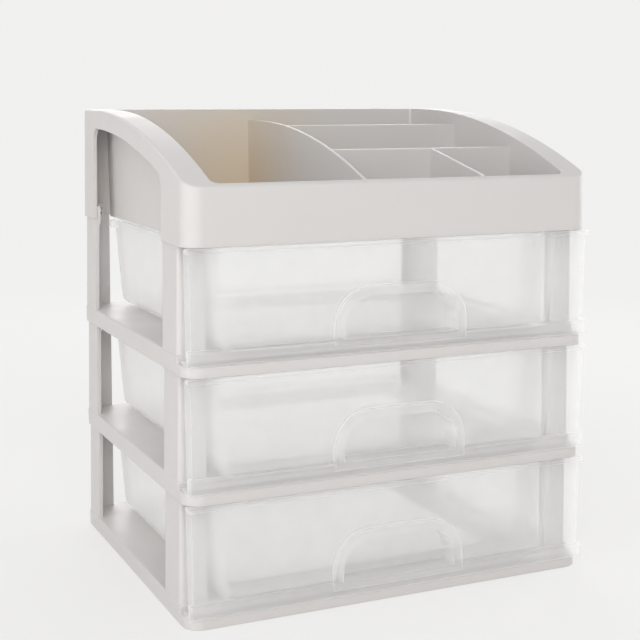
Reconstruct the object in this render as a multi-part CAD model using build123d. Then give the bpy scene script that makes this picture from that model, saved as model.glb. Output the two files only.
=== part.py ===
from build123d import *
import os

# Desktop organizer: a divided top tray and three shelf frames snapped into a stack, with three drawers.
# Millimetres. X runs to the right, Y to the rear and Z up. Each moulding is made with Y = 0 at the front
# edge of the shelves and Z = 0 on the table; the last lines move the origin under the middle of the whole.

# Shelf frames
frame_width = 245.0          # across the skirts of the shelves
frame_depth = 198.0          # front edge of the shelves to the rear skirt
wall = 2.4                   # wall of the frame mouldings
shelf_pitch = 67.0           # one shelf to the next
base_height = 5.5            # front edge of the lowest shelf above the table
skirt_drop = 6.0             # height of the front edge of an upper shelf
shelf_step = 4.0             # rails for the drawer above the front edge of their shelf
front_radius = 10.0          # front corners of a shelf, seen from above
rear_radius = 5.0            # rear corners of a shelf, seen from above
edge_round = 1.0             # rounded upper edge of a shelf
least_radius = 0.4           # smallest round in the moulds
overrun = 1.0                # how far a cut runs past what it cuts

# Corner posts and their plugs
post_side = 25.0             # leg along the side
post_end = 16.0              # leg along the front or the rear
post_setback = 14.0          # front posts behind the front edge of the shelves
post_inset = 0.4             # foot of a post inside the edge of its shelf
post_lean = 0.9              # head of a post inside its foot
post_radius = 3.0            # outer corner of a front post
plug_wall = 2.0
plug_end = 10.5              # leg of a plug along the front or the rear
plug_root = 4.0              # how far a plug runs down inside its post
fit_gap = 0.2                # between a plug and its socket
hook_width = 5.0
hook_height = 2.4
hook_reach = 1.2
hook_rise = 1.6              # underside of a hook above the joint
tongue_slit = 0.7            # cut round the springy tongue that carries a hook

# Rails round the opening of a shelf, and the ribs below them
rail_side = 33.0             # side rails, from the outer face to the opening
rail_front = 20.0            # front rail, from the step to the opening
rail_rear = 12.0
opening_radius = 6.0
rib_thickness = 1.6
rib_clear = 0.6              # ribs short of the lower edge of the skirt
rib_shares = (-0.5, 0.0, 0.5)

# Top tray
tray_height = 66.5           # lower edge of the fascia to the crest of the rim
fascia_height = 30.1
fascia_radius = 10.0         # front corners of the tray, seen from above
rim_flat = 28.0              # level stretch of the rim, from the rear
rim_width = 13.0             # side rim, from the outer face to the bin
rim_rear_width = 8.0         # the same at the rear
rim_skirt = 11.0             # side and rear skirts under the rim
rim_round = 1.6              # rounded outer edge of the rim
arch_radius = 8.0            # where a rim skirt runs into a corner
rear_corner = 20.0           # rear corners of the tray, along the rear
bin_draft = 1.2              # floor of the bin inside its mouth
bin_front_wall = 3.5
bin_front_radius = 7.0
bin_rear_radius = 4.0
partition = 2.0              # thickness of the partitions
partition_drop = 7.0         # top of the partitions below the rim
partition_heel = 0.8         # how far the partitions end inside the walls of the bin
centre_partition_x = -13.0
rear_partition_y = 128.0
front_partition_y = 61.5
divider_x = 52.5
divider_fall = 12.5          # front end of the short divider below its rear end

# Drawer tubs
drawer_lift = 0.3            # running gap over the shelf
drawer_wall = 1.8
drawer_floor = 2.0
tub_headroom = 2.3           # rim of the tub below the shelf above it
tub_top_gap = 2.0            # side wall of the tub inside the front posts, at its top
tub_draft = 3.0              # floor of the tub inside its mouth, each side
tub_rear_gap = 5.5           # mouth of the tub ahead of the rear skirt
tub_rear_draft = 2.5
tub_mouth_radius = 4.0       # corners of the tub seen from above, at its mouth
tub_floor_radius = 9.0       # the same at its floor
tub_round = 5.5              # rounded lower edge of the tub
rim_lip = 1.5                # outward rim of the tub
rim_thickness = 2.0
ear_reach = 3.0              # stop ears outside the rim
ear_length = 8.0
ear_height = 4.5
runner_height = 1.4
runner_width = 4.0
runner_inset = 1.0           # runners inside the flat of the floor
runner_end_gap = 16.0        # runners short of the floor, front and rear

# Drawer fronts
front_headroom = 0.5         # top of a front below the shelf above it
front_wall = 2.2
front_inset = 2.3            # upper corners of a front inside the edge of the shelf
front_taper = 1.0            # lower corners inside the upper ones
front_return = 9.5           # side edges turned to the rear
top_fin_height = 2.4
top_fin_reach = 1.8          # fin beyond the front and its sides
top_fin_depth = 4.5          # fin behind the front face
sill_height = 8.5
sill_reach = 2.4             # sill beyond the front and its sides
sill_round = 2.0
fin_round = 0.9
corner_round = 2.5           # corners of the front

# Handle
handle_width = 80.0
handle_top = 37.2            # top of the arch above the shelf
handle_band = 5.5
handle_radius = 22.0
handle_proud = 3.5           # arch ahead of the front
handle_round = 1.0
pocket_depth = 10.0
pocket_wall = 1.8

# Derived places
half_width = frame_width / 2
bay_height = shelf_pitch - skirt_drop
shelf_tops = [base_height + index * shelf_pitch for index in range(3)]
tray_bottom = shelf_tops[-1] + bay_height
tray_top = tray_bottom + tray_height
fascia_top = tray_bottom + fascia_height
plug_inset = wall + fit_gap
tub_height = bay_height - drawer_lift - tub_headroom
front_height = bay_height - drawer_lift - front_headroom
front_half = half_width - front_inset
reach_ahead = max(handle_proud, sill_reach, top_fin_reach)


def patch(x0, x1, y0, y1):
    """Rectangle between two opposite corners."""
    return Pos((x0 + x1) / 2, (y0 + y1) / 2) * Rectangle(abs(x1 - x0), abs(y1 - y0))


def block(x0, x1, y0, y1, z0, z1):
    """Box between two opposite corners."""
    return extrude(Pos(0, 0, z0) * patch(x0, x1, y0, y1), z1 - z0)


def radius(wanted):
    return max(wanted, least_radius)


def plan(half, front, rear, front_round, rear_round):
    """Outline seen from above, with its own round at the front and at the rear corners."""
    outline = patch(-half, half, front, rear)
    outline = fillet(outline.vertices().group_by(Axis.Y)[-1], radius(rear_round))
    return fillet(outline.vertices().group_by(Axis.Y)[0], radius(front_round))


def drafted(foot, head, z0, z1):
    """Solid between two outlines with the same corners."""
    return loft([Pos(0, 0, z0) * foot, Pos(0, 0, z1) * head], ruled=True)


def pair(shape):
    """A shape and its mirror image on the other side."""
    return [shape, mirror(shape, about=Plane.YZ)]


def across(profile, half):
    """Solid whose side view is the profile, drawn as Y and Z."""
    return extrude(Plane.YZ * profile, half, both=True)


def facing(profile, front, rear):
    """Solid whose front view is the profile, drawn as X and Z."""
    return extrude(Plane(origin=(0, rear, 0), x_dir=(1, 0, 0), z_dir=(0, -1, 0)) * profile, rear - front)


# Corners of the frame: where they are, and which way they run from the end
FRONT = (post_setback, 1, post_radius)
REAR = (frame_depth, -1, rear_radius)


def corner(side, end, inward, side_length, end_length, thickness, outer_round):
    """L-shaped section with a rounded corner, on the right-hand side."""
    legs = patch(side - thickness, side, end, end + inward * side_length)
    legs += patch(side - end_length, side, end, end + inward * thickness)
    outer = legs.vertices().sort_by_distance((side, end, 0))[0]
    legs = fillet(outer, radius(outer_round))
    inner = legs.vertices().sort_by_distance((side - thickness, end + inward * thickness, 0))[0]
    return fillet(inner, radius(outer_round - thickness))


def hook_box(end, inward, joint, reach_in, reach_out, play, hinge=0):
    """Box about a snap hook, from inside the skirt outwards, longer where its tongue is hinged."""
    middle = half_width - plug_inset - plug_end / 2
    y_in = end + inward * reach_in
    y_out = end + inward * reach_out
    z0 = joint + hook_rise
    half = hook_width / 2 + play
    return block(middle - half - hinge, middle + half, y_in, y_out, z0 - play, z0 + hook_height + play)


def post(bed, joint, place):
    """Leaning corner post with a plug on its head and a hook on the plug's tongue, right-hand side."""
    end, inward, outer_round = place

    def section(inset, end_length, thickness):
        return corner(half_width - inset, end + inward * inset, inward,
                      post_side - inset, end_length, thickness, outer_round - inset)

    foot = section(post_inset, post_end - post_inset, wall)
    lean = post_inset + post_lean
    head = section(lean, post_end - lean, wall)
    plug_top = joint + skirt_drop + shelf_step - wall - fit_gap
    plug_foot = joint - plug_root
    plug = extrude(Pos(0, 0, plug_foot) * section(plug_inset, plug_end, plug_wall), plug_top - plug_foot)
    plug_back = plug_inset + plug_wall
    plug -= hook_box(end, inward, joint, plug_back + overrun, plug_inset - overrun, tongue_slit)
    tongue = hook_box(end, inward, joint, plug_back, plug_inset, 0, tongue_slit)
    hook = hook_box(end, inward, joint, plug_back, plug_inset - hook_reach, 0)
    return drafted(foot, head, bed - wall / 2, joint) + plug + tongue + hook


def snap_windows(joint):
    """Openings for the hooks in the rear skirt and in the cross wall behind the front edge."""
    cuts = []
    for end, inward, _ in (FRONT, REAR):
        cuts += pair(hook_box(end, inward, joint, wall + fit_gap, -overrun, fit_gap))
    return cuts


def ribs(bottom, top):
    """Crossed ribs that stiffen the rails of a shelf from below."""
    front = post_setback + wall / 2
    rear = frame_depth - wall / 2
    wide_half = half_width - wall / 2
    half = rib_thickness / 2
    bars = []
    for share in rib_shares:
        x = share * half_width
        y = (front + rear) / 2 + share * (rear - front) / 2
        bars.append(block(x - half, x + half, front, rear, bottom, top))
        bars.append(block(-wide_half, wide_half, y - half, y + half, bottom, top))
    return bars


def open_slab(front, rear, front_round, rear_round, bottom, top):
    """Plate with walls turned down all round it, open below."""
    outer = plan(half_width, front, rear, front_round, rear_round)
    inner = plan(half_width - wall, front + wall, rear - wall, front_round - wall, rear_round - wall)
    slab = extrude(Pos(0, 0, bottom) * outer, top - bottom)
    slab = fillet(slab.edges().group_by(Axis.Z)[-1], edge_round)
    return slab - extrude(Pos(0, 0, bottom) * inner, top - bottom - wall)


def opening(grown):
    """Plan of the opening in a shelf, or of the flange round it."""
    corners = opening_radius + grown
    return plan(half_width - rail_side + grown, post_setback + rail_front - grown,
                frame_depth - rail_rear + grown, corners, corners)


def shelf(top, drop):
    """Front edge of a shelf and the raised rails for the drawer behind it, open in the middle."""
    bottom = top - drop
    bed = top + shelf_step
    edge = open_slab(0, post_setback + wall, front_radius, 0, bottom, top)
    plate = open_slab(post_setback, frame_depth, 0, rear_radius, bottom, bed)
    rib_foot = bottom + rib_clear
    rib_head = bed - wall / 2
    flange = extrude(Pos(0, 0, rib_foot) * opening(wall), rib_head - rib_foot)
    hole = extrude(Pos(0, 0, bottom - overrun) * opening(0), drop + shelf_step + 2 * overrun)
    return edge + plate + ribs(rib_foot, rib_head) + flange - hole


def shelf_frame(level):
    """One shelf with its four posts. The lowest one stands on the table, the others on posts."""
    top = shelf_tops[level]
    if level == 0:
        frame = shelf(top, base_height)
    else:
        frame = shelf(top, skirt_drop) - snap_windows(top - skirt_drop)
    for place in (FRONT, REAR):
        frame += pair(post(top + shelf_step, top + bay_height, place))
    return frame


def below_rim(lowered, bottom, crest=frame_depth - rim_flat):
    """Side view of what lies under the lowered rim line: level behind the crest, then an arc to the front."""
    high = tray_top - lowered
    low = fascia_top - lowered
    rear = frame_depth + overrun
    edges = [
        Line((-overrun, bottom), (rear, bottom)),
        Line((rear, bottom), (rear, high)),
        Line((rear, high), (crest, high)),
        TangentArc((crest, high), (-overrun, low), tangent=(-1, 0)),
        Line((-overrun, low), (-overrun, bottom)),
    ]
    return make_face(edges)


def tray_skin():
    """Fascia, rim and skirts as one skin that is open below."""
    bottom = tray_bottom
    foot = plan(half_width, 0, frame_depth, fascia_radius, rear_radius)
    head = plan(half_width - post_lean, 0, frame_depth - post_lean, fascia_radius, rear_radius)
    under_rim = across(below_rim(0, bottom - overrun), half_width + overrun)
    skin = drafted(foot, head, bottom, tray_top) & under_rim
    skin = fillet(rim_edges(skin), rim_round)
    inner_foot = plan(half_width - wall, wall, frame_depth - wall, fascia_radius - wall, rear_radius - wall)
    inner_head = plan(half_width - post_lean - wall, wall, frame_depth - post_lean - wall,
                      fascia_radius - wall, rear_radius - wall)
    hollow = drafted(inner_foot, inner_head, bottom, tray_top)
    return skin - (hollow & across(below_rim(wall, bottom - overrun), half_width))


def rim_edges(skin):
    """Outer edges of the upper faces, without the line where the level rim turns into the arc."""
    crest = frame_depth - rim_flat
    normals = [(face, face.normal_at()) for face in skin.faces()]
    upper = [face for face, normal in normals if normal.Z > max(abs(normal.X), abs(normal.Y))]
    centres = [(edge, edge.center()) for face in upper for edge in face.edges()]
    return ShapeList(edge for edge, at in centres if abs(at.Y - crest) > overrun or abs(at.X) > overrun)


def bin_outline(inset, front, draft):
    """Plan of the bin, moved in by a wall and by its draft."""
    half = half_width - rim_width - inset - draft
    rear = frame_depth - rim_rear_width - inset - draft
    return plan(half, front, rear, bin_front_radius - inset, bin_rear_radius - inset)


def tray_windows():
    """Cuts that open the sides and the rear between the corners, up to an arched skirt under the rim."""
    window_rear = frame_depth - post_side
    skirt_view = below_rim(rim_skirt, tray_bottom - overrun, window_rear)
    side_view = skirt_view & patch(post_setback + post_side, window_rear, 0, tray_top)
    side_view = fillet(side_view.vertices().group_by(Axis.X)[-1].sort_by(Axis.Y)[-1], arch_radius)
    side_view = fillet(side_view.vertices().group_by(Axis.X)[0].sort_by(Axis.Y)[-1], arch_radius)
    gap = rim_width - overrun
    side = extrude(Plane.YZ.offset(half_width - gap) * side_view, gap + overrun)
    end_half = half_width - rear_corner
    rear_view = patch(-end_half, end_half, tray_bottom - overrun, tray_top - rim_skirt)
    rear_view = fillet(rear_view.vertices().group_by(Axis.Y)[-1], arch_radius)
    rear = facing(rear_view, frame_depth - rim_rear_width + overrun, frame_depth + overrun)
    return pair(side) + [rear]


def partitions():
    """Centre partition, two cross partitions on its right and a short divider at the front."""
    half = half_width - rim_width - partition_heel
    front = bin_front_wall - partition_heel
    rear = frame_depth - rim_rear_width - partition_heel
    floor = tray_bottom + wall / 2
    slope = below_rim(partition_drop, floor) + patch(0, frame_depth, floor, fascia_top - rim_round)

    def plate(x0, x1, y0, y1):
        return block(x0, x1, y0, y1, floor, tray_top)

    def cross(y):
        return plate(centre_partition_x, half, y - partition / 2, y + partition / 2)

    centre = plate(centre_partition_x - partition / 2, centre_partition_x + partition / 2, front, rear)
    plates = centre + cross(rear_partition_y) + cross(front_partition_y)
    plates = plates & across(slope, half_width)
    crest = frame_depth - rim_flat
    arc_run = crest - front_partition_y
    arc_fall = tray_top - fascia_top
    arc_radius = ((crest + overrun) ** 2 + arc_fall ** 2) / (2 * arc_fall)
    rear_top = tray_top - partition_drop - arc_radius + (arc_radius ** 2 - arc_run ** 2) ** 0.5
    view = make_face(Polyline((front, floor), (front_partition_y, floor), (front_partition_y, rear_top),
                              (front, rear_top - divider_fall), close=True))
    return plates + Pos(divider_x, 0, 0) * across(view, partition / 2)


def top_tray():
    """Open bin with partitions, hung in a rim with a fascia, skirts and four corners."""
    floor_top = tray_bottom + wall
    outer = drafted(bin_outline(0, wall / 2, bin_draft), bin_outline(0, wall / 2, 0), tray_bottom, tray_top)
    cavity = drafted(bin_outline(wall, bin_front_wall, bin_draft), bin_outline(wall, bin_front_wall, 0),
                     floor_top, tray_top)
    walls = outer & across(below_rim(wall / 2, tray_bottom), half_width)
    inside = partitions() & outer
    tray = tray_skin() - tray_windows() + walls - cavity + inside
    socket = block(half_width - post_end, half_width - wall / 2, post_setback, post_setback + wall,
                   tray_bottom, tray_bottom + skirt_drop)
    return tray + pair(socket) - snap_windows(tray_bottom)


def tub_outline(inset, front, share):
    """Plan of the tub between its mouth (0) and its floor (1)."""
    half = half_width - post_end - tub_top_gap - tub_draft * share - inset
    rear = frame_depth - tub_rear_gap - tub_rear_draft * share - inset
    corners = tub_mouth_radius + (tub_floor_radius - tub_mouth_radius) * share - inset
    return plan(half, front, rear, corners, corners)


def tub_form(inset, front, bottom):
    """Drafted form of the tub, moved in by its wall, with a rounded lower edge."""
    form = drafted(tub_outline(inset, front, 1), tub_outline(inset, front, 0), bottom, tub_height)
    return fillet(form.edges().group_by(Axis.Z)[0], radius(tub_round - inset))


def tub():
    """Tub with an outward rim, stop ears and two runners."""
    floor_z = shelf_step + runner_height
    mouth_half = half_width - post_end - tub_top_gap
    mouth_rear = frame_depth - tub_rear_gap
    rim = plan(mouth_half + rim_lip, 0, mouth_rear + rim_lip, 0, tub_mouth_radius + rim_lip)
    shell = tub_form(0, 0, floor_z)
    shell += extrude(Pos(0, 0, tub_height - rim_thickness) * rim, rim_thickness)
    ear_end = mouth_half + rim_lip + ear_reach
    ear_rear = mouth_rear - tub_mouth_radius
    ear = block(mouth_half - drawer_wall, ear_end, ear_rear - ear_length, ear_rear,
                tub_height - ear_height, tub_height)
    shell += pair(fillet(ear.edges().filter_by(Axis.Z).group_by(Axis.X)[-1], rim_thickness))
    shell -= tub_form(drawer_wall, front_wall, floor_z + drawer_floor)
    flat_half = mouth_half - tub_draft - tub_round
    floor_rear = mouth_rear - tub_rear_draft
    runner = block(flat_half - runner_inset - runner_width, flat_half - runner_inset,
                   runner_end_gap, floor_rear - runner_end_gap, shelf_step, floor_z + drawer_floor / 2)
    return shell + pair(runner)


def front_view(inset):
    """Front seen from ahead: a little wider at the top, with rounded corners."""
    top_half = front_half - inset
    low_half = top_half - front_taper
    view = make_face(Polyline((-low_half, 0), (low_half, 0), (top_half, front_height),
                              (-top_half, front_height), close=True))
    return fillet(view.vertices(), radius(corner_round - inset))


def drawer_front():
    """Panel with returned side edges, a thin fin along its top and a rounded sill along its foot."""
    panel = facing(front_view(0), 0, front_return)
    inside = facing(front_view(front_wall), front_wall, front_return + overrun)
    above = block(-front_half + front_wall, front_half - front_wall, front_wall, front_return + overrun,
                  front_wall, front_height + overrun)
    panel -= [inside, above]
    fin_half = front_half + top_fin_reach
    fin = block(-fin_half, fin_half, -top_fin_reach, top_fin_depth,
                front_height - top_fin_height, front_height)
    sill_half = front_half - front_taper + sill_reach
    sill = block(-sill_half, sill_half, -sill_reach, front_return, 0, sill_height)
    sill_behind = block(-sill_half, sill_half, front_wall, front_return + overrun, drawer_floor, sill_height)
    sill = fillet(sill.edges().filter_by(Axis.Y, reverse=True).group_by(Axis.Y)[0], sill_round)
    return panel + fillet(fin.edges(), fin_round) + (sill - sill_behind)


def arch_view(inset, foot):
    """Front view of the arch: square at its foot, with large rounds at the top."""
    half = handle_width / 2 - inset
    view = patch(-half, half, foot, handle_top - drawer_lift - inset)
    return fillet(view.vertices().group_by(Axis.Y)[-1], radius(handle_radius - inset))


def drawer():
    """One drawer with the foot of its front at Z = 0."""
    foot = sill_height / 2
    band = facing(arch_view(0, foot), -handle_proud, front_wall)
    band = fillet(band.edges().group_by(Axis.Y)[0], handle_round)
    shell_view = arch_view(handle_band - pocket_wall, foot)
    pocket_shell = facing(shell_view, front_wall / 2, pocket_depth + pocket_wall)
    pocket = facing(arch_view(handle_band, sill_height), -handle_proud - overrun, pocket_depth)
    return tub() + drawer_front() + band + pocket_shell - pocket


os.makedirs("parts", exist_ok=True)
to_middle = Pos(0, (reach_ahead - frame_depth) / 2, 0)
FRAMES = ("base_shelf_frame", "middle_shelf_frame", "upper_shelf_frame")
DRAWERS = ("lower_drawer", "middle_drawer", "upper_drawer")
for level, name in enumerate(FRAMES):
    export_step(to_middle * shelf_frame(level), f"parts/{name}.step")
for level, name in enumerate(DRAWERS):
    lift = Pos(0, 0, shelf_tops[level] + drawer_lift)
    export_step(to_middle * lift * drawer(), f"parts/{name}.step")
export_step(to_middle * top_tray(), "parts/top_tray.step")
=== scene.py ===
import math

import bpy
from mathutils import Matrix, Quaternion, Vector

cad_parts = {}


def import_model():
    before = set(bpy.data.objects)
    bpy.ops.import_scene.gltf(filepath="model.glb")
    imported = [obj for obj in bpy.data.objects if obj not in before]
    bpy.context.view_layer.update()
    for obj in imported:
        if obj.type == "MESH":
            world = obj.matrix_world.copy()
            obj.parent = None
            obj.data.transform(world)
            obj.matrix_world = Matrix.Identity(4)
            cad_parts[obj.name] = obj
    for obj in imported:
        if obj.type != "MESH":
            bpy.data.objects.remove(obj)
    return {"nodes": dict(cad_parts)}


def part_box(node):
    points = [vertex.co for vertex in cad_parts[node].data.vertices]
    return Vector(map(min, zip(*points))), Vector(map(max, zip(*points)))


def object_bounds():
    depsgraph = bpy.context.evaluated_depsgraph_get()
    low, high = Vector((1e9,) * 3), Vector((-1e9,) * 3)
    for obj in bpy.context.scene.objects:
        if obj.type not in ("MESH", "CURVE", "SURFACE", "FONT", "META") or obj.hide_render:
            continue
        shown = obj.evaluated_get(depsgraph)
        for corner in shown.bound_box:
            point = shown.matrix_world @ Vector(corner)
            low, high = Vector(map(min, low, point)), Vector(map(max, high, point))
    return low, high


# Looks of a desktop organizer: a satin grey frame and tray, and frosted drawers.
# Metres, in the frame of the solids.
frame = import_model()
cad_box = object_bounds()

FRAME_NODES = ("base_shelf_frame", "middle_shelf_frame", "upper_shelf_frame")
TRAY_NODES = ("top_tray",)
DRAWER_NODES = ("lower_drawer", "middle_drawer", "upper_drawer")

# Camera: place and direction found from the photograph's perspective
MM = 0.001
CAMERA_PLACE = Vector((-334.7, -720.9, 279.2)) * MM
CAMERA_YAW = math.radians(24.69)
CAMERA_PITCH = math.radians(7.13)
CAMERA_ROLL = math.radians(0.19)
LENS = 74.33                  # millimetres, as the sensor
SENSOR_WIDTH = 36.0
LENS_SHIFT = -0.10            # share of the sensor's width
NEAREST_VIEW = 0.01

# Colours, linear
FRAME_COLOUR = (0.612, 0.592, 0.582)
FRAME_SHADE = (0.582, 0.56, 0.541)
# Painted warm light: a colour that stands in for the warm light deep in the tray's long compartment
PAINTED_WARM_LIGHT_COLOUR = (0.62, 0.53, 0.41)
DRAWER_COLOUR = (0.968, 0.968, 0.963)
PALE = (0.88, 0.875, 0.87)    # floor and background
WHITE = (1.0, 1.0, 1.0)

# Noise over the plastics: scales are per metre
NOISE_RANGE = (0.3, 0.7)      # most of a noise lies in here
CLOUD_DETAIL = 3.0
GRAIN_DETAIL = 1.0
GRAIN_DEPTH = 0.0002

# Satin plastic of the frame and the tray
MOTTLE_SCALE = 9.0
MOTTLE_SHARE = (0.0, 0.35)    # how far the colour goes towards its shade
FRAME_STREAK_SCALE = 60.0
FRAME_ROUGHNESS = (0.42, 0.52)
FRAME_GRAIN_SCALE = 2500.0
FRAME_GRAIN_STRENGTH = 0.06
SOFT_EDGE = 0.0005
SOFT_EDGE_SAMPLES = 6

# Painted warm light in the deep corner of the tray's long compartment: the corner as shares of the tray's
# box, how far the painted light reaches, and the way its faces look
PAINTED_LIGHT_CORNER_SHARES = (0.40, 0.93, 0.25)
PAINTED_LIGHT_REACH = 0.105
INTO_COMPARTMENT = (-1.0, -1.0, 0.6)

# Frosted plastic of the drawers
DRAWER_IOR = 1.45
DRAWER_CLOUD_SCALE = 25.0
DRAWER_ROUGHNESS = (0.28, 0.36)
DRAWER_GRAIN_SCALE = 1800.0
DRAWER_GRAIN_STRENGTH = 0.04
FAR_SIDE_SHARE = 0.5          # of the scattered light, how much leaves on the far side
FILM_SHARE = (0.26, 0.30)     # how much of the light one face scatters
SLANT_BLEND = 0.5
SLANT_RANGE = (0.4, 1.0)      # from here on a face seen at a slant scatters more
SLANT_SHARE = (0.0, 0.35)     # so much more
CLEAR_FACES = 32              # a look through the stack passes two faces for each wall

# Surroundings: their brightness level with the horizon and overhead
HORIZON = 0.24
ZENITH = 0.64

# Floor: near the object it keeps the shadow, and further off it fades into the background
FLOOR_RADIUS = 12.0
FLOOR_SIDES = 96
FLOOR_GAP = 0.0002
FADE_RANGE = (0.25, 1.2)
FLOOR_GLOW_SHARE = 0.62       # how much of the floor's brightness near the object is plain background

# Square lamps, aimed at the middle of the part: name, place, width and watts
LAMPS = (
    ("key", (-0.50, -1.30, 0.80), 1.0, 10.8),
    ("fill", (-1.40, -0.40, 0.50), 1.0, 7.2),
    ("rear", (0.45, 1.35, 0.40), 1.2, 13.0),
    ("side", (1.40, 0.10, 0.40), 1.2, 10.0),
)


def opaque(colour):
    """Colour with full alpha."""
    return (*colour, 1.0)


def new_material(name):
    """Node material with nothing but its output."""
    material = bpy.data.materials.new(name)
    material.use_nodes = True
    tree = material.node_tree
    tree.nodes.clear()
    output = tree.nodes.new("ShaderNodeOutputMaterial")
    return material, tree, output


def add(tree, kind, **values):
    """Node with the given properties and input values."""
    node = tree.nodes.new(kind)
    for name, value in values.items():
        if name in node.inputs:
            node.inputs[name].default_value = value
        else:
            setattr(node, name, value)
    return node


def ranged(tree, source, start, end, low, high, **values):
    """A value moved from one range to another and kept inside it."""
    node = add(tree, "ShaderNodeMapRange", **values)
    node.inputs["From Min"].default_value = start
    node.inputs["From Max"].default_value = end
    node.inputs["To Min"].default_value = low
    node.inputs["To Max"].default_value = high
    tree.links.new(source, node.inputs["Value"])
    return node.outputs["Result"]


def combined(tree, operation, first, second, **values):
    """Two values put together by an operation, such as a product."""
    node = add(tree, "ShaderNodeMath", operation=operation, **values)
    tree.links.new(first, node.inputs[0])
    tree.links.new(second, node.inputs[1])
    return node.outputs["Value"]


def mixed(tree, first, second):
    """Mix of two shaders, whose share is still to be set."""
    node = add(tree, "ShaderNodeMixShader")
    tree.links.new(first.outputs[0], node.inputs[1])
    tree.links.new(second.outputs[0], node.inputs[2])
    return node


def noise(tree, place, scale, detail=CLOUD_DETAIL):
    """Noise over the object's own coordinates."""
    node = add(tree, "ShaderNodeTexNoise", Scale=scale, Detail=detail)
    tree.links.new(place.outputs["Object"], node.inputs["Vector"])
    return node.outputs["Fac"]


def between(tree, source, limits):
    """A value between two limits, driven by a noise."""
    return ranged(tree, source, *NOISE_RANGE, *limits)


def grain(tree, place, scale, strength):
    """Bump of a fine mould texture."""
    node = add(tree, "ShaderNodeBump", Strength=strength, Distance=GRAIN_DEPTH)
    tree.links.new(noise(tree, place, scale, GRAIN_DETAIL), node.inputs["Height"])
    return node


def painted_light_mask(tree, place, corner):
    """Mask of painted warm light: how near a face is to the deep corner of a compartment, for the faces
    that look into it.
    """
    gap = add(tree, "ShaderNodeVectorMath", operation="DISTANCE")
    gap.inputs[1].default_value = corner
    tree.links.new(place.outputs["Object"], gap.inputs[0])
    near = ranged(tree, gap.outputs["Value"], PAINTED_LIGHT_REACH, 0.0, 0.0, 1.0, interpolation_type="SMOOTHSTEP")
    geometry = add(tree, "ShaderNodeNewGeometry")
    inward = add(tree, "ShaderNodeVectorMath", operation="DOT_PRODUCT")
    inward.inputs[1].default_value = INTO_COMPARTMENT
    tree.links.new(geometry.outputs["Normal"], inward.inputs[0])
    return combined(tree, "MULTIPLY", near, inward.outputs["Value"], use_clamp=True)


def frame_plastic(name, painted_light_corner=None):
    """Satin moulded plastic: faint mottling, a fine mould texture and softened edges; given a corner,
    also warm light painted into the colour near it.
    """
    material, tree, output = new_material(name)
    shader = add(tree, "ShaderNodeBsdfPrincipled")
    place = add(tree, "ShaderNodeTexCoord")
    colour = add(tree, "ShaderNodeMix", data_type="RGBA")
    colour.inputs["A"].default_value = opaque(FRAME_COLOUR)
    colour.inputs["B"].default_value = opaque(FRAME_SHADE)
    mottle = between(tree, noise(tree, place, MOTTLE_SCALE), MOTTLE_SHARE)
    tree.links.new(mottle, colour.inputs["Factor"])
    tint = colour.outputs["Result"]
    # Painted warm light: near the corner, on faces that look into the compartment, the colour turns warm
    # in place of warm light there
    if painted_light_corner:
        painted_warm = add(tree, "ShaderNodeMix", data_type="RGBA")
        painted_warm.inputs["B"].default_value = opaque(PAINTED_WARM_LIGHT_COLOUR)
        tree.links.new(painted_light_mask(tree, place, painted_light_corner), painted_warm.inputs["Factor"])
        tree.links.new(tint, painted_warm.inputs["A"])
        tint = painted_warm.outputs["Result"]
    tree.links.new(tint, shader.inputs["Base Color"])
    roughness = between(tree, noise(tree, place, FRAME_STREAK_SCALE), FRAME_ROUGHNESS)
    tree.links.new(roughness, shader.inputs["Roughness"])
    bump = grain(tree, place, FRAME_GRAIN_SCALE, FRAME_GRAIN_STRENGTH)
    soft = add(tree, "ShaderNodeBevel", samples=SOFT_EDGE_SAMPLES, Radius=SOFT_EDGE)
    tree.links.new(soft.outputs["Normal"], bump.inputs["Normal"])
    tree.links.new(bump.outputs["Normal"], shader.inputs["Normal"])
    tree.links.new(shader.outputs["BSDF"], output.inputs["Surface"])
    return material


def drawer_plastic():
    """Frosted plastic: each face lets most of the light through and scatters the rest both ways."""
    material, tree, output = new_material("drawer_plastic")
    place = add(tree, "ShaderNodeTexCoord")
    cloud = noise(tree, place, DRAWER_CLOUD_SCALE)
    surface = add(tree, "ShaderNodeBsdfPrincipled", IOR=DRAWER_IOR)
    surface.inputs["Base Color"].default_value = opaque(DRAWER_COLOUR)
    tree.links.new(between(tree, cloud, DRAWER_ROUGHNESS), surface.inputs["Roughness"])
    bump = grain(tree, place, DRAWER_GRAIN_SCALE, DRAWER_GRAIN_STRENGTH)
    tree.links.new(bump.outputs["Normal"], surface.inputs["Normal"])
    far_side = add(tree, "ShaderNodeBsdfTranslucent")
    far_side.inputs["Color"].default_value = opaque(DRAWER_COLOUR)
    haze = mixed(tree, surface, far_side)
    haze.inputs["Fac"].default_value = FAR_SIDE_SHARE
    clear = add(tree, "ShaderNodeBsdfTransparent")
    slant = add(tree, "ShaderNodeLayerWeight", Blend=SLANT_BLEND)
    more = ranged(tree, slant.outputs["Facing"], *SLANT_RANGE, *SLANT_SHARE)
    share = combined(tree, "ADD", between(tree, cloud, FILM_SHARE), more, use_clamp=True)
    film = mixed(tree, clear, haze)
    tree.links.new(share, film.inputs["Fac"])
    tree.links.new(film.outputs["Shader"], output.inputs["Surface"])
    return material


def dress(names, material):
    """Gives nodes a material in place of the one they came with."""
    for name in names:
        slots = frame["nodes"][name].data.materials
        slots.clear()
        slots.append(material)


def sees_backdrop(tree):
    """1 for the rays that look at the background, straight, by a mirror or through something clear."""
    path = add(tree, "ShaderNodeLightPath")
    value = path.outputs["Is Camera Ray"]
    for kind in ("Is Glossy Ray", "Is Transmission Ray"):
        value = combined(tree, "MAXIMUM", value, path.outputs[kind])
    return value


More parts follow.
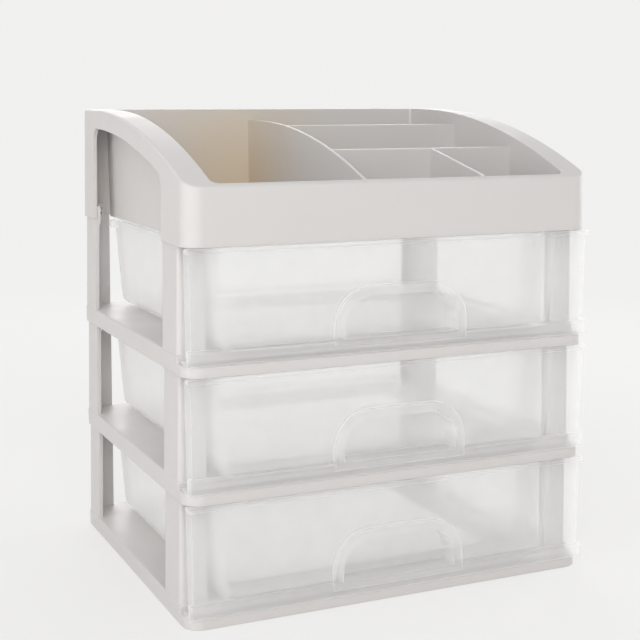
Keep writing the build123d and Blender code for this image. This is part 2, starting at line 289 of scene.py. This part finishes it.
def floor():
    """Plain pale floor that keeps a soft shadow and fades into the background far from the object."""
    bpy.ops.mesh.primitive_circle_add(vertices=FLOOR_SIDES, radius=FLOOR_RADIUS, fill_type="NGON",
                                      location=(0, 0, -FLOOR_GAP))
    plane = bpy.context.object
    plane.name = "floor"
    material, tree, output = new_material("floor")
    matt = add(tree, "ShaderNodeBsdfDiffuse")
    matt.inputs["Color"].default_value = opaque(PALE)
    glow = add(tree, "ShaderNodeEmission", Strength=1.0)
    glow.inputs["Color"].default_value = opaque(PALE)
    place = add(tree, "ShaderNodeTexCoord")
    distance = add(tree, "ShaderNodeVectorMath", operation="LENGTH")
    tree.links.new(place.outputs["Object"], distance.inputs[0])
    fade = ranged(tree, distance.outputs["Value"], *FADE_RANGE, FLOOR_GLOW_SHARE, 1.0,
                  interpolation_type="SMOOTHSTEP")
    mix = mixed(tree, matt, glow)
    tree.links.new(combined(tree, "MULTIPLY", fade, sees_backdrop(tree)), mix.inputs["Fac"])
    tree.links.new(mix.outputs["Shader"], output.inputs["Surface"])
    plane.data.materials.append(material)


def world():
    """Light from all round, brighter overhead, with the plain background for the rays that look at it."""
    surroundings = bpy.data.worlds.new("surroundings")
    surroundings.use_nodes = True
    tree = surroundings.node_tree
    tree.nodes.clear()
    output = add(tree, "ShaderNodeOutputWorld")
    place = add(tree, "ShaderNodeTexCoord")
    height = add(tree, "ShaderNodeSeparateXYZ")
    tree.links.new(place.outputs["Generated"], height.inputs["Vector"])
    sky = add(tree, "ShaderNodeBackground")
    sky.inputs["Color"].default_value = opaque(WHITE)
    tree.links.new(ranged(tree, height.outputs["Z"], 0.0, 1.0, HORIZON, ZENITH), sky.inputs["Strength"])
    backdrop = add(tree, "ShaderNodeBackground", Strength=1.0)
    backdrop.inputs["Color"].default_value = opaque(PALE)
    mix = mixed(tree, sky, backdrop)
    tree.links.new(sees_backdrop(tree), mix.inputs["Fac"])
    tree.links.new(mix.outputs["Shader"], output.inputs["Surface"])
    bpy.context.scene.world = surroundings


def lamp(name, place, target, width, power):
    """Soft square lamp aimed at a point."""
    data = bpy.data.lights.new(name, "AREA")
    data.size = width
    data.energy = power
    item = bpy.data.objects.new(name, data)
    item.location = place
    item.rotation_euler = (Vector(target) - Vector(place)).to_track_quat("-Z", "Y").to_euler()
    bpy.context.collection.objects.link(item)


def camera():
    """Camera at the photograph's place."""
    data = bpy.data.cameras.new("camera")
    data.sensor_width = SENSOR_WIDTH
    data.lens = LENS
    data.shift_y = LENS_SHIFT
    data.clip_start = NEAREST_VIEW
    item = bpy.data.objects.new("camera", data)
    level = math.cos(CAMERA_PITCH)
    ahead = Vector((math.sin(CAMERA_YAW) * level, math.cos(CAMERA_YAW) * level, -math.sin(CAMERA_PITCH)))
    item.location = CAMERA_PLACE
    item.rotation_mode = "QUATERNION"
    item.rotation_quaternion = ahead.to_track_quat("-Z", "Y") @ Quaternion((0, 0, 1), CAMERA_ROLL)
    bpy.context.collection.objects.link(item)
    bpy.context.scene.camera = item


# Corner of the tray where warm light is painted into the colour
tray_low, tray_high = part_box("top_tray")
painted_light_corner = [low + (high - low) * share
               for low, high, share in zip(tray_low, tray_high, PAINTED_LIGHT_CORNER_SHARES)]
dress(FRAME_NODES, frame_plastic("frame_plastic"))
dress(TRAY_NODES, frame_plastic("tray_plastic_painted_warm_light", painted_light_corner))
dress(DRAWER_NODES, drawer_plastic())
floor()
world()
middle = (cad_box[0] + cad_box[1]) / 2
for name, place, width, power in LAMPS:
    lamp(name, place, middle, width, power)
camera()
bpy.context.scene.cycles.transparent_max_bounces = CLEAR_FACES
bpy.context.scene.view_settings.view_transform = "Standard"
